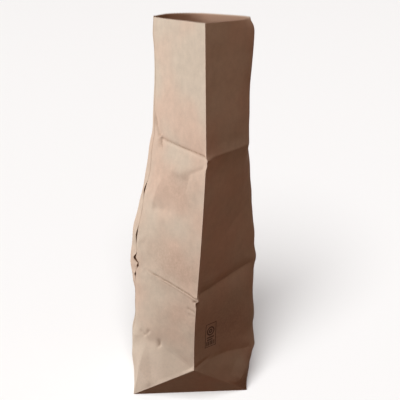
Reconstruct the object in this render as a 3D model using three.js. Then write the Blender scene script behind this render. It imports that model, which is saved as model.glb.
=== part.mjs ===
// Brown paper sack, empty and open at the mouth, standing on its folded block bottom.
//
// The sack is a flat tube of paper, creased along a front and a back edge, with one glued seam
// down the middle of its left face. Two folds run round it where it lay folded in three, and a
// third runs round it where the block bottom was folded out. Every cross-section is a strip of
// paper of the same length, bent at a few places, so the girth is the same at every height.
//
// Millimetres, +Z up, the front crease towards -Y. u is the distance along the paper round the
// sack from the front crease, positive to the right. The origin is the middle of the base's box.
import * as THREE from 'three';

// Driving dimensions.
const FLAT_WIDTH = 325; // the sack lying flat, half of its girth
const BOTTOM_WIDTH = 206; // the block bottom, across the front
const BOTTOM_DEPTH = FLAT_WIDTH - BOTTOM_WIDTH; // and from front to back
const BOTTOM_TURN = 3.3; // degrees that the standing base is turned
const FRONT_FOOT = [-120, -7]; // the base's front left corner
const WALL = 0.8; // the paper, with its loose plies
const GUSSET = BOTTOM_WIDTH / 2; // height of the bottom's end triangles, along the paper
const SEAM = -FLAT_WIDTH / 2; // where the lap of the glued seam ends
const LAP = 18; // how wide the lap is
const LAP_STEP = 0.7; // how far the lap stands off the face
const TOOTH_DEPTH = 2.2; // the mouth's saw-toothed cut
const TEETH_PER_COLUMN = 3; // tooth flanks for each column of the wall
const COLUMN_PITCH = 10.4; // widest column of the wall

// The cross-sections that shape the sack. Each one starts at the front crease and goes both ways
// round: to a bend, along a side (its length and heading in degrees), and on to the back crease,
// which lies where the two ways meet. Round is how soft the four bends are.
const SECTIONS = {
  mouth: {
    height: 650, front: [7, -56],
    left: { bend: [-76, 86], side: 104, heading: 80, round: [3, 20] },
    right: { bend: [88, 46], side: 78, heading: 98, round: [10, 24] },
  },
  neck: {
    height: 555, front: [8, -60],
    left: { bend: [-78, 84], side: 90, heading: 85, round: [5, 24] },
    right: { bend: [86, 37], side: 70, heading: 94, round: [12, 24] },
  },
  upperFold: {
    height: 460, front: [9, -65],
    left: { bend: [-84, 80], side: 40, heading: 97, round: [8, 24] },
    right: { bend: [80, 20], side: 70, heading: 88, round: [12, 24] },
  },
  belly: {
    height: 345, front: [3, -66],
    left: { bend: [-107, 68], side: 36, heading: 104, round: [12, 24] },
    right: { bend: [96, 62], side: 40, heading: 92, round: [16, 24] },
  },
  lowerFold: {
    height: 229, front: [-5, -65],
    left: { bend: [-130, 61], side: 27, heading: 106, round: [14, 24] },
    right: { bend: [105, 62], side: 27, heading: 92, round: [16, 24] },
  },
  low: {
    height: 160, front: [-9, -60],
    left: { bend: [-119, 36], side: 62, heading: 94, round: [14, 18] },
    right: { bend: [103, 46], side: 52, heading: 92, round: [14, 20] },
  },
  bottomFold: {
    height: 98, front: [-10, -53],
    left: { bend: [-125, 26], side: 60, heading: 93, round: [6, 8] },
    right: { bend: [104, 33], side: 56, heading: 93, round: [6, 8] },
  },
};
const APEX_DROP = 14; // how far the bottom fold dips to the tip of each end triangle

// The stretches of wall between folds: lower section, the one that bellies it, upper section.
const STRETCHES = [
  { from: 'bottomFold', through: 'low', to: 'lowerFold', rows: 7 },
  { from: 'lowerFold', through: 'belly', to: 'upperFold', rows: 11 },
  { from: 'upperFold', through: 'neck', to: 'mouth', rows: 9 },
];
const FOOT_ROWS = 3; // rows of wall below the bottom fold

// Relief of the folds. A fold is a groove (negative) or a ridge on each face, with a pointed jut
// of the front crease. Reach is how far up and down the paper it works.
const FOLDS = [
  { section: 'upperFold', left: -4.5, right: 2, jut: 4, reach: 13 },
  { section: 'lowerFold', left: -5, right: -4.5, jut: 5, reach: 15 },
];
const FOLD_STOP = 17; // a fold stops this far from the middle of the lap's stiff strip
const FOLD_FADE = 22; // and dies out over this width
const JUT_WIDTH = 12;

// Places where the lap's edge has come unstuck and stands open.
const LIFTS = [
  { height: 392, length: 34, lift: 1.6 },
  { height: 300, length: 30, lift: 2.4 },
  { height: 236, length: 24, lift: 3 },
];

const deg = (angle) => (angle * Math.PI) / 180;
const add = (a, b, scale = 1) => [a[0] + b[0] * scale, a[1] + b[1] * scale];
const gap = (a, b) => Math.hypot(b[0] - a[0], b[1] - a[1]);
const toward = (angle) => [Math.cos(deg(angle)), Math.sin(deg(angle))];
const fade = (x) => Math.min(Math.max(x, 0), 1);

// The point that is reachA from a and reachB from b, on the far side from the front.
function meetingPoint(a, reachA, b, reachB) {
  const span = gap(a, b);
  const along = (reachA ** 2 - reachB ** 2 + span ** 2) / (2 * span);
  const across = Math.sqrt(Math.max(reachA ** 2 - along ** 2, 0));
  const dir = [(b[0] - a[0]) / span, (b[1] - a[1]) / span];
  return add(add(a, dir, along), [-dir[1], dir[0]], across);
}

// The corners of a cross-section on each side, from the front crease to the back crease.
function cornersOf({ front, left, right }) {
  const ways = [left, right].map(({ bend, side, heading }) => {
    const end = add(bend, toward(heading), side);
    return { bend, end, rest: FLAT_WIDTH - gap(front, bend) - side };
  });
  const back = meetingPoint(ways[0].end, ways[0].rest, ways[1].end, ways[1].rest);
  return ways.map(({ bend, end }) => [front, bend, end, back]);
}

// A ramp that is flat below zero and has slope one above it, with a rounded foot.
const ramp = (x, round) => (x + Math.hypot(x, round)) / 2;

// A strip of paper from corner to corner: each bend adds its change of direction by a rounded
// ramp, and what the rounding leaves open at the end is spread along the strip.
function stripPoint(corners, round, share) {
  const lengths = [0, 1, 2].map((i) => gap(corners[i], corners[i + 1]));
  const total = lengths[0] + lengths[1] + lengths[2];
  const dirs = lengths.map((length, i) => add([0, 0], add(corners[i + 1], corners[i], -1), 1 / length));
  const bends = [lengths[0], lengths[0] + lengths[1]];
  const at = (t) => {
    let p = add(corners[0], dirs[0], t);
    bends.forEach((bend, i) => {
      const bent = ramp(t - bend, round[i]) - ramp(-bend, round[i]);
      p = add(p, add(dirs[i + 1], dirs[i], -1), bent);
    });
    return p;
  };
  const miss = add(corners[3], at(total), -1);
  return add(at(share * total), miss, share);
}

for (const section of Object.values(SECTIONS)) {
  section.corners = cornersOf(section);
}

function sectionPoint({ corners, left, right }, u) {
  const way = u < 0 ? 0 : 1;
  const { round } = u < 0 ? left : right;
  return stripPoint(corners[way], round, Math.abs(u) / FLAT_WIDTH);
}

// Height of a section at u. Only the bottom fold isn't level: it dips to the two end triangles.
function sectionHeight(name, u) {
  const { height } = SECTIONS[name];
  const fromTip = Math.min(Math.abs(u), FLAT_WIDTH - Math.abs(u));
  const dip = APEX_DROP * fade(1 - fromTip / GUSSET);
  return name === 'bottomFold' ? height - dip : height;
}

// A point of the plain wall: between two folds the paper follows the parabola through the
// lower, the middle and the upper section.
function plainWall({ from, through, to }, u, t) {
  const z = [from, through, to].map((name) => sectionHeight(name, u));
  const m = (z[1] - z[0]) / (z[2] - z[0]);
  const weights = [((t - m) * (t - 1)) / m, (t * (t - 1)) / (m * (m - 1)), (t * (t - m)) / (1 - m)];
  const names = [from, through, to];
  let p = [0, 0];
  names.forEach((name, i) => {
    p = add(p, sectionPoint(SECTIONS[name], u), weights[i]);
  });
  return [...p, z[0] + (z[2] - z[0]) * t];
}

// How far the paper stands proud of the plain wall: folds, the lap and its lifted places.
function relief(u, z) {
  let out = 0;
  const fromCrease = Math.min(Math.abs(u), FLAT_WIDTH - Math.abs(u));
  const tip = fade(1 - fromCrease / JUT_WIDTH);
  const clearOfLap = fade((Math.abs(u - SEAM) - FOLD_STOP) / FOLD_FADE);
  for (const { section, left, right, jut, reach } of FOLDS) {
    const near = fade(1 - Math.abs(z - SECTIONS[section].height) / reach);
    const face = u < 0 ? left * clearOfLap : right;
    out += near * (face * (1 - tip) + jut * tip);
  }
  const onLap = u < SEAM ? fade(1 - (SEAM - u - LAP) / LAP) : 0;
  out += LAP_STEP * onLap;
  for (const { height, length, lift } of LIFTS) {
    const open = fade(1 - Math.abs(z - height) / (length / 2));
    const edge = u <= SEAM ? fade(1 - (SEAM - u) / LAP) : 0;
    out += lift * open * edge;
  }
  return out;
}

// A point of the wall with its relief, which is laid out square to the section.
function wallPoint(stretch, u, t) {
  const step = 1;
  const before = plainWall(stretch, Math.max(u - step, -FLAT_WIDTH), t);
  const after = plainWall(stretch, Math.min(u + step, FLAT_WIDTH), t);
  const p = plainWall(stretch, u, t);
  const span = gap(before, after);
  const normal = [(after[1] - before[1]) / span, (before[0] - after[0]) / span];
  return [...add(p, normal, relief(u, p[2])), p[2]];
}

// The base's four corners: front left, front right, back right, back left.
function baseCorners() {
  const across = toward(BOTTOM_TURN);
  const inward = [-across[1], across[0]];
  const frontRight = add(FRONT_FOOT, across, BOTTOM_WIDTH);
  const backRight = add(frontRight, inward, BOTTOM_DEPTH);
  return [FRONT_FOOT, frontRight, backRight, add(FRONT_FOOT, inward, BOTTOM_DEPTH)];
}

const mix = (a, b, t) => a.map((value, i) => value + (b[i] - value) * t);

// The three points of the foot at u: on the bottom fold, on the crease where the wall turns
// under, and on the base's edge. Between the corners the last two are the same point.
function footPoints(u) {
  const [frontLeft, frontRight, backRight, backLeft] = baseCorners().map((p) => [...p, 0]);
  const fold = wallPoint(STRETCHES[0], u, 0);
  const [nearFoot, farFoot] = u < 0 ? [frontLeft, backLeft] : [frontRight, backRight];
  const run = Math.abs(u);
  if (run >= GUSSET && run <= FLAT_WIDTH - GUSSET) {
    const edge = mix(nearFoot, farFoot, (run - GUSSET) / BOTTOM_DEPTH);
    return { fold, turn: edge, edge };
  }
  const atFront = run < GUSSET;
  const share = (atFront ? run : FLAT_WIDTH - run) / GUSSET;
  const tip = wallPoint(STRETCHES[0], atFront ? 0 : FLAT_WIDTH, 0);
  const foot = atFront ? nearFoot : farFoot;
  const middle = atFront ? mix(frontLeft, frontRight, 0.5) : mix(backLeft, backRight, 0.5);
  return { fold, turn: mix(tip, foot, share), edge: mix(middle, foot, share) };
}

// Columns of the wall, with one on each crease, corner and seam.
function columnStations() {
  const marks = [0, GUSSET, FLAT_WIDTH / 2, FLAT_WIDTH - GUSSET, FLAT_WIDTH];
  const half = [];
  for (let i = 0; i + 1 < marks.length; i += 1) {
    const count = Math.ceil((marks[i + 1] - marks[i]) / COLUMN_PITCH);
    for (let k = 0; k < count; k += 1) {
      half.push(marks[i] + ((marks[i + 1] - marks[i]) * k) / count);
    }
  }
  const leftHalf = half.slice(1).map((u) => -u);
  return [-FLAT_WIDTH, ...leftHalf.reverse(), ...half];
}

// Heights of the rows in a stretch, as shares of it, with close rows beside its folds.
function rowShares({ from, to, rows }) {
  const length = SECTIONS[to].height - SECTIONS[from].height;
  const folded = (name) => FOLDS.some(({ section }) => section === name);
  const shares = [];
  for (let i = 0; i <= rows; i += 1) {
    shares.push(i / rows);
  }
  if (folded(from)) {
    shares.push(FOLDS[0].reach / length);
  }
  if (folded(to)) {
    shares.push(1 - FOLDS[0].reach / length);
  }
  return shares.sort((a, b) => a - b).filter((share, i, all) => i === 0 || share - all[i - 1] > 0.01);
}

// Rows of points from the base's edge up to just under the mouth's teeth.
function wallRows(stations) {
  const feet = stations.map(footPoints);
  const rows = [feet.map(({ edge }) => edge), feet.map(({ turn }) => turn)];
  for (let i = 1; i < FOOT_ROWS; i += 1) {
    rows.push(feet.map(({ turn, fold }) => mix(turn, fold, i / FOOT_ROWS)));
  }
  STRETCHES.forEach((stretch, index) => {
    const shares = rowShares(stretch).slice(index === 0 ? 0 : 1);
    shares.forEach((share) => {
      const last = stretch.to === 'mouth' && share === 1;
      const under = (2 * TOOTH_DEPTH) / (SECTIONS.mouth.height - SECTIONS.upperFold.height);
      rows.push(stations.map((u) => wallPoint(stretch, u, last ? 1 - under : share)));
    });
  });
  return rows;
}

// The saw-toothed edge of the mouth, a few points for each column.
function mouthEdge(stations) {
  const stretch = STRETCHES[STRETCHES.length - 1];
  const points = [];
  stations.forEach((u, j) => {
    const next = j + 1 < stations.length ? stations[j + 1] : FLAT_WIDTH;
    for (let k = 0; k < TEETH_PER_COLUMN; k += 1) {
      const at = u + ((next - u) * k) / TEETH_PER_COLUMN;
      const down = points.length % 2 === 1 ? TOOTH_DEPTH : 0;
      const point = wallPoint(stretch, at, 1);
      points.push([point[0], point[1], point[2] - down]);
    }
  });
  return points;
}

// A skin is the wall's grid, its toothed edge and a fan that closes the base.
function skin() {
  const stations = columnStations();
  const points = [];
  const lookup = new Map();
  const index = (p) => {
    const key = p.map((value) => value.toFixed(4)).join();
    if (!lookup.has(key)) {
      lookup.set(key, points.length);
      points.push(new THREE.Vector3(...p));
    }
    return lookup.get(key);
  };
  const grid = wallRows(stations).map((row) => row.map(index));
  const rim = mouthEdge(stations).map(index);
  const corners = baseCorners();
  const middle = index([...mix(mix(corners[0], corners[2], 0.5), mix(corners[1], corners[3], 0.5), 0.5), 0]);
  const faces = [];
  const addFace = (a, b, c) => {
    if (a !== b && b !== c && c !== a) {
      faces.push([a, b, c]);
    }
  };
  const columns = stations.length;
  for (let j = 0; j < columns; j += 1) {
    const next = (j + 1) % columns;
    addFace(middle, grid[0][next], grid[0][j]);
    for (let i = 0; i + 1 < grid.length; i += 1) {
      addFace(grid[i][j], grid[i][next], grid[i + 1][next]);
      addFace(grid[i][j], grid[i + 1][next], grid[i + 1][j]);
    }
    const top = grid[grid.length - 1];
    const flank = (k) => rim[(j * TEETH_PER_COLUMN + k) % rim.length];
    addFace(top[j], top[next], flank(1));
    addFace(top[j], flank(1), flank(0));
    for (let k = 1; k < TEETH_PER_COLUMN; k += 1) {
      addFace(top[next], flank(k + 1), flank(k));
    }
  }
  return { points, faces, rim };
}

// The inner skin lies one wall thickness inside the outer one, square to the paper.
function innerPoints({ points, faces }) {
  const sums = points.map(() => new THREE.Vector3());
  const normals = points.map(() => []);
  for (const [a, b, c] of faces) {
    const face = new THREE.Triangle(points[a], points[b], points[c]);
    const normal = face.getNormal(new THREE.Vector3());
    for (const vertex of [a, b, c]) {
      sums[vertex].addScaledVector(normal, face.getArea());
      normals[vertex].push(normal);
    }
  }
  return points.map((point, i) => {
    const mean = sums[i].normalize();
    const square = Math.min(...normals[i].map((normal) => normal.dot(mean)));
    return point.clone().addScaledVector(mean, -WALL / Math.max(square, 0.5));
  });
}

// The closed solid: outer skin, inner skin turned inside out, and the paper's cut edge between.
function sackGeometry() {
  const outer = skin();
  const inner = innerPoints(outer);
  const count = outer.points.length;
  const faces = [...outer.faces, ...outer.faces.map(([a, b, c]) => [a + count, c + count, b + count])];
  outer.rim.forEach((a, k) => {
    const b = outer.rim[(k + 1) % outer.rim.length];
    faces.push([a, b, b + count], [a, b + count, a + count]);
  });
  const geometry = new THREE.BufferGeometry();
  geometry.setFromPoints([...outer.points, ...inner]);
  geometry.setIndex(faces.flat());
  geometry.computeBoundingBox();
  const centre = geometry.boundingBox.getCenter(new THREE.Vector3());
  geometry.translate(-centre.x, -centre.y, -geometry.boundingBox.min.z);
  geometry.computeVertexNormals();
  return geometry;
}

const kraft = new THREE.MeshStandardMaterial({ color: 0xc7a585, roughness: 0.88, metalness: 0 });
const sack = new THREE.Mesh(sackGeometry(), kraft);
sack.name = 'sack';

const part = new THREE.Group();
part.name = 'paper_sack';
part.add(sack);

export default part;
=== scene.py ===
"""Looks of a brown paper sack that stands open and empty on its folded block bottom.

The sack is one flat tube of paper. Every cross-section of it is a strip of the same length, bent
at a few places, and the wall is the surface through these sections. Metres, +Z up, the front
crease towards -Y. u is the distance along the paper round the sack from the front crease, positive
to the right, and z is the height. The origin is the middle of the bounding box at the base.
"""

import logging
import math
from collections.abc import Callable
from dataclasses import dataclass, replace
from enum import Enum
from typing import Any

import bpy
import numpy as np
from bpy.types import Collection, Material, Node, NodeOutputs, NodeSocket, NodeTree, Object
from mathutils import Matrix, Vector


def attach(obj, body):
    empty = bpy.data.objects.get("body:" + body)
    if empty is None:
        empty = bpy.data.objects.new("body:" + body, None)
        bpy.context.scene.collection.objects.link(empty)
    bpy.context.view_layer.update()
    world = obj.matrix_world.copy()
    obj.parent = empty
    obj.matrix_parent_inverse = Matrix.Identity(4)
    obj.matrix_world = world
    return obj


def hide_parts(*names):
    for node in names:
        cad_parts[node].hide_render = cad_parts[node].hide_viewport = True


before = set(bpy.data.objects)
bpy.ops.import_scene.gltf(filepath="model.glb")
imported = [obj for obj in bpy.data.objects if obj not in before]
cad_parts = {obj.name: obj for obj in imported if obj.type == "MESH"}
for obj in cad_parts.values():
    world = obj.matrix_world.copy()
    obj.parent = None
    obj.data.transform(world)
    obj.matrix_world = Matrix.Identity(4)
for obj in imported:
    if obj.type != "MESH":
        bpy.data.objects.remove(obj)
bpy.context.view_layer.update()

Array = np.ndarray
Pair = tuple[float, float]
Triple = tuple[float, float, float]
Quad = tuple[float, float, float, float]
LOG = logging.getLogger("paper_sack")
# Points that are less than this far apart are one.
WELD = 1e-6
# Shorter vectors than this have no direction.
TINY = 1e-15
# Edges that turn by more degrees than this are shaded sharp.
SHARP_ANGLE = 30.0
# The lining's places on the paper lie this far to the right, and those of the base this far down.
LINING_SHIFT = 1.0
UNDER = 0.5
# The sack's flat width: the places u run from minus this to plus this.
HALF_GIRTH = 0.325


def ramp(x: Array | float, softness: float) -> Array | float:
    """A ramp that is flat below zero and has slope one above it, with a rounded foot.

    Formula: half of x plus the length of the vector (x, softness).
    """
    return (x + np.hypot(x, softness)) / 2


def held(x: Array) -> Array:
    """x kept between 0 and 1."""
    return np.clip(x, 0, 1)


def smooth(x: Array) -> Array:
    """A soft step from 0 to 1 while x goes from 0 to 1: three x squared less two x cubed."""
    x = held(x)
    return x * x * (3 - 2 * x)


def unit(vectors: Array) -> Array:
    """Vectors along the last axis, made one long."""
    return vectors / np.maximum(np.linalg.norm(vectors, axis=-1, keepdims=True), TINY)


def placed(name: str, data: bpy.types.ID) -> Object:
    """A new object with the given data, in the scene at the origin."""
    thing = bpy.data.objects.new(name, data)
    bpy.context.scene.collection.objects.link(thing)
    return thing


def metres(value: Any) -> Any:
    """Millimetres as metres: a number, or every number in nested tuples."""
    return tuple(metres(part) for part in value) if isinstance(value, tuple) else value / 1000


def toward(angle: float) -> Array:
    """The direction in plan at an angle in degrees."""
    return np.array([math.cos(math.radians(angle)), math.sin(math.radians(angle))])


def from_line(path: tuple[Pair, ...], u: Array, z: Array) -> tuple[Array, Array]:
    """Place of points beside a bent line.

    Args:
        path: The line's corners.
        u: First coordinates of the points.
        z: Second coordinates of the points.

    Returns:
        The distance to the nearest leg, positive on the left of the line's way, and how far
        along the line its nearest place is, from 0 to 1.
    """
    corners = np.array(path)
    lengths = np.hypot(*np.diff(corners, axis=0).T)
    away = np.full(np.broadcast(u, z).shape, np.inf)
    run = np.zeros_like(away)
    for leg, (start, end) in enumerate(zip(corners, corners[1:])):
        along = (end - start) / lengths[leg]
        du, dz = u - start[0], z - start[1]
        free = du * along[0] + dz * along[1]
        first, last = leg == 0, leg == len(lengths) - 1
        held = np.clip(free, 0, lengths[leg])
        side = np.sign(dz * along[0] - du * along[1])
        gap = np.hypot(du - held * along[0], dz - held * along[1])
        reach = np.clip(free, -np.inf if first else 0, np.inf if last else lengths[leg])
        here = gap < np.abs(away)
        away = np.where(here, np.where(side < 0, -gap, gap), away)
        run = np.where(here, lengths[:leg].sum() + reach, run)
    return away, run / lengths.sum()


def meeting_point(a: Array, reach_a: float, b: Array, reach_b: float) -> Array:
    """Find where two runs of paper meet at the back.

    Args:
        a: Start of the first run.
        reach_a: Length of the first run.
        b: Start of the second run.
        reach_b: Length of the second run.

    Returns:
        The point that is reach_a from a and reach_b from b, on the far side from the front.
    """
    span = math.dist(a, b)
    along = (reach_a**2 - reach_b**2 + span**2) / (2 * span)
    across = math.sqrt(max(reach_a**2 - along**2, 0))
    heading = (b - a) / span
    return a + heading * along + np.array([-heading[1], heading[0]]) * across


def strip(corners: Array, softness: Pair, share: Array) -> Array:
    """Points along a strip of paper that is bent at its two inner corners.

    Formula: a straight run, plus at each bend the change of heading times a rounded ramp. What
    the rounding leaves open at the far end is spread evenly along the strip.

    Args:
        corners: Four corners in plan, from the front crease to the back crease.
        softness: How round the two bends are.
        share: Places along the strip, from 0 to 1, in any shape.

    Returns:
        The points in plan, in the shape of share with one axis more.
    """
    runs = np.diff(corners, axis=0)
    lengths = np.hypot(runs[:, 0], runs[:, 1])
    headings = runs / lengths[:, None]
    bends = np.cumsum(lengths)[:2]

    def at(t: Array) -> Array:
        """The bent strip before its end is closed."""
        point = corners[0] + t[..., None] * headings[0]
        for i, bend in enumerate(bends):
            bent = ramp(t - bend, softness[i]) - ramp(-bend, softness[i])
            point = point + bent[..., None] * (headings[i + 1] - headings[i])
        return point

    total = np.asarray(lengths.sum())
    miss = corners[3] - at(total)
    return at(share * total) + share[..., None] * miss


@dataclass(frozen=True)
class Way:
    """One way round a cross-section: its bend, the side after it, and how soft both bends are."""

    bend: Pair
    side: float
    heading: float
    softness: Pair


@dataclass(frozen=True)
class Section:
    """A cross-section of the sack: a height, the front crease and the two ways round."""

    height: float
    front: Pair
    left: Way
    right: Way

    def corners(self, flat_width: float) -> tuple[Array, Array]:
        """Corners of the left and of the right way, from the front crease to the back crease."""
        front = np.array(self.front)
        ends, rests = [], []
        for way in (self.left, self.right):
            bend = np.array(way.bend)
            ends.append(bend + way.side * toward(way.heading))
            rests.append(flat_width - math.dist(front, bend) - way.side)
        back = meeting_point(ends[0], rests[0], ends[1], rests[1])
        left = np.array([front, self.left.bend, ends[0], back])
        right = np.array([front, self.right.bend, ends[1], back])
        return left, right

    def around(self, flat_width: float, u: Array) -> Array:
        """Points of the section in plan at the places u round the sack."""
        left, right = self.corners(flat_width)
        share = np.abs(u) / flat_width
        on_left = strip(left, self.left.softness, share)
        on_right = strip(right, self.right.softness, share)
        return np.where((u < 0)[..., None], on_left, on_right)


def section(height: float, front: Pair, *ways: tuple[float, ...]) -> Section:
    """A section from its measures in millimetres.

    Args:
        height: Its height.
        front: The front crease in plan.
        ways: The left and the right way: its bend in plan, the side after it, that side's
            heading in degrees, and how soft both bends are.

    Returns:
        The section in metres.
    """
    left, right = (Way(metres(w[:2]), metres(w[2]), w[3], metres(w[4:])) for w in ways)
    return Section(metres(height), metres(front), left, right)


@dataclass(frozen=True)
class Tube:
    """The plain surface of the sack: its sections, and the block bottom that it stands on."""

    flat_width: float = HALF_GIRTH
    bottom_width: float = 0.206
    bottom_turn: float = 3.3
    front_foot: Pair = (-0.120, -0.007)
    centre: Pair = (-0.01225, 0.06853)
    bottom_line: tuple[Pair, ...] = metres((
        (-325, 84), (-222, 98), (-140, 104), (-83, 116), (-62, 112.5), (-43, 104), (0, 84.5),
        (28, 93.5), (78, 90), (133, 74), (165, 84), (222, 98), (325, 84),
    ))
    mouth: Section = section(650, (7, -56), (-76, 86, 104, 80, 3, 20), (88, 46, 78, 98, 10, 24))
    neck: Section = section(555, (8, -60), (-78, 84, 90, 85, 5, 24), (86, 37, 70, 94, 12, 24))
    upper_fold: Section = section(460, (9, -65), (-84, 80, 40, 97, 8, 24), (80, 20, 70, 88, 12, 24))
    belly: Section = section(345, (3, -66), (-107, 68, 36, 104, 12, 24), (96, 62, 40, 92, 16, 24))
    lower_fold: Section = section(
        229, (-5, -65), (-130, 61, 27, 106, 14, 24), (105, 62, 27, 92, 16, 24)
    )
    low: Section = section(160, (-9, -60), (-119, 36, 62, 94, 14, 18), (103, 46, 52, 92, 14, 20))
    bottom_fold: Section = section(
        98, (-10, -53), (-125, 26, 60, 93, 6, 8), (104, 33, 56, 93, 6, 8)
    )

    @property
    def bottom_depth(self) -> float:
        """The base from front to back."""
        return self.flat_width - self.bottom_width

    @property
    def gusset(self) -> float:
        """Height of the bottom's end triangles, along the paper."""
        return self.bottom_width / 2

    @property
    def seam(self) -> float:
        """Where the free edge of the glued lap lies, down the middle of the left face."""
        return -self.flat_width / 2

    @property
    def stretches(self) -> tuple[tuple[Section, Section, Section], ...]:
        """The stretches of wall between folds: lower, middle and upper section of each."""
        return (
            (self.bottom_fold, self.low, self.lower_fold),
            (self.lower_fold, self.belly, self.upper_fold),
            (self.upper_fold, self.neck, self.mouth),
        )

    def from_crease(self, u: Array) -> Array:
        """Distance along the paper to the front or the back crease."""
        return np.minimum(np.abs(u), self.flat_width - np.abs(u))

    def height(self, section: Section, u: Array) -> Array:
        """Height of a section at u. The bottom fold dips to the tips of the two end triangles."""
        if section is self.bottom_fold:
            return np.interp(u, *np.transpose(self.bottom_line))
        return np.full(np.shape(u), section.height)

    def wall(self, stretch: int, u: Array, t: Array) -> Array:
        """Points of the plain wall in one stretch.

        Formula: at each u the parabola through the stretch's three sections, t from 0 to 1.
        """
        sections = self.stretches[stretch]
        low, middle, high = (self.height(section, u) for section in sections)
        m = (middle - low) / (high - low)
        weights = ((t - m) * (t - 1) / m, t * (t - 1) / (m * (m - 1)), t * (t - m) / (1 - m))
        plan = sum(
            weight[..., None] * section.around(self.flat_width, u)
            for weight, section in zip(weights, sections)
        )
        return np.concatenate([plan, (low + (high - low) * t)[..., None]], axis=-1)

    def base_corners(self) -> tuple[Array, Array, Array, Array]:
        """The base's corners: front left, front right, back right, back left."""
        across = toward(self.bottom_turn)
        inward = np.array([-across[1], across[0]])
        front_left = np.array(self.front_foot)
        front_right = front_left + across * self.bottom_width
        back_right = front_right + inward * self.bottom_depth
        back_left = front_left + inward * self.bottom_depth
        return tuple(np.append(p, 0.0) for p in (front_left, front_right, back_right, back_left))

    def foot(self, u: Array) -> tuple[Array, Array, Array]:
        """Three points of the foot at each u.

        Returns:
            The points on the bottom fold, on the crease where the wall turns under, and on the
            base's edge. Along the base's sides the last two are the same point.
        """
        front_left, front_right, back_right, back_left = self.base_corners()
        fold = self.wall(0, u, np.zeros_like(u))
        tips = self.wall(0, np.array([0.0, self.flat_width]), np.zeros(2))
        run = np.abs(u)
        left = (u < 0)[:, None]
        near = np.where(left, front_left, front_right)
        far = np.where(left, back_left, back_right)
        side = near + (far - near) * ((run - self.gusset) / self.bottom_depth)[:, None]
        at_front = (run < self.flat_width / 2)[:, None]
        share = (self.from_crease(u) / self.gusset)[:, None]
        corner = np.where(at_front, near, far)
        tip = np.where(at_front, tips[0], tips[1])
        middle = np.where(at_front, (front_left + front_right) / 2, (back_left + back_right) / 2)
        on_side = share >= 1
        turn = np.where(on_side, side, tip + (corner - tip) * share)
        edge = np.where(on_side, side, middle + (corner - middle) * share)
        return fold, turn, edge


@dataclass(frozen=True)
class Crease:
    """A crease in the paper: a bent line of places (u, z), from left to right or upwards.

    It is a ridge (positive) or a valley of the given depth. The reaches say how far it works on
    its left or upper side and on its other side, and the power how its flanks hang: 1 for two
    flat slopes, more for flanks that flare out. It dies out over the fade at each end.
    """

    path: tuple[Pair, ...]
    depth: float
    reach: Pair
    power: float
    fade: Pair

    def relief(self, u: Array, z: Array) -> Array:
        """How far the crease lifts the paper.

        Formula: the distance to the nearest leg of the line, over the reach on that side, from
        one down to zero, raised to the power, times the depth and a soft step at each end.
        """
        away, run = from_line(self.path, u, z)
        reach = np.where(away > 0, self.reach[0], self.reach[1])
        flank = held(1 - np.abs(away) / reach) ** self.power
        ends = smooth(run / self.fade[0]) * smooth((1 - run) / self.fade[1])
        return self.depth * flank * ends


@dataclass(frozen=True)
class Dent:
    """A soft dent (negative) or bulge (positive): a bell-shaped place with two radii."""

    at: Pair
    depth: float
    radii: Pair

    def relief(self, u: Array, z: Array) -> Array:
        """How far the dent lifts the paper: e to the minus squared distance over the radii."""
        a, b = (u - self.at[0]) / self.radii[0], (z - self.at[1]) / self.radii[1]
        return self.depth * np.exp(-(a * a + b * b))


@dataclass(frozen=True)
class Nudge:
    """A bell-shaped place where the paper is pushed sideways in plan.

    Across a sharp crease the bell is pointed instead: its flanks are parabolas that undo the
    crease's bend, so that the paper is rounded there.
    """

    at: Pair
    push: Pair
    radii: Pair
    pointed: bool = False

    def shift(self, u: Array, z: Array) -> Array:
        """The push at each place."""
        if self.pointed:
            flank = held(1 - np.abs(u - self.at[0]) / self.radii[0]) ** 2
            share = flank * np.exp(-(((z - self.at[1]) / self.radii[1]) ** 2))
        else:
            share = Dent(self.at, 1.0, self.radii).relief(u, z)
        return share[..., None] * np.append(self.push, 0.0)


@dataclass(frozen=True)
class Cockle:
    """The slow unevenness of handled paper: smooth noise over the sheet."""

    depth: float
    pitch: float
    seed: int
    height: float = 1.0

    def relief(self, u: Array, z: Array) -> Array:
        """Noise between minus and plus the depth.

        Formula: seeded random numbers on a square lattice, blended by soft steps between its
        points. The lattice closes on itself round the sack, and is higher than the sack.
        """
        round_it = max(int(round(2 * HALF_GIRTH / self.pitch)), 1)
        rows = int(math.ceil(self.height / self.pitch)) + 2
        lattice = np.random.default_rng(self.seed).uniform(-1, 1, (rows, round_it))
        x = (u + HALF_GIRTH) / (2 * HALF_GIRTH) * round_it
        y = z / self.pitch
        column, row = np.floor(x).astype(int), np.floor(y).astype(int)
        a, b = smooth(x - column), smooth(y - row)
        left, right = column % round_it, (column + 1) % round_it
        low = lattice[row, left] * (1 - a) + lattice[row, right] * a
        high = lattice[row + 1, left] * (1 - a) + lattice[row + 1, right] * a
        return self.depth * (low * (1 - b) + high * b)


@dataclass(frozen=True)
class ToneLine:
    """A line that paints the paper lighter for wear and painted highlights, and darker for dirt and
    painted shade.
    """

    path: tuple[Pair, ...]
    half_width: float
    strength: float
    fade: Pair

    def amount(self, u: Array, z: Array) -> Array:
        """Strength times e to the minus squared distance over the half width, softly ended."""
        away, run = from_line(self.path, u, z)
        ends = smooth(run / self.fade[0]) * smooth((1 - run) / self.fade[1])
        return self.strength * np.exp(-((away / self.half_width) ** 2)) * ends


def creases(*rows: tuple) -> tuple[Crease, ...]:
    """Creases from rows of numbers.

    Args:
        rows: Path, depth, reach on the left or upper side and on the other side, all in
            millimetres, then the power and both fades.

    Returns:
        The creases in metres.
    """
    return tuple(
        Crease(metres(path), metres(depth), metres((over, under)), power, (first, last))
        for path, depth, over, under, power, first, last in rows
    )


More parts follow.
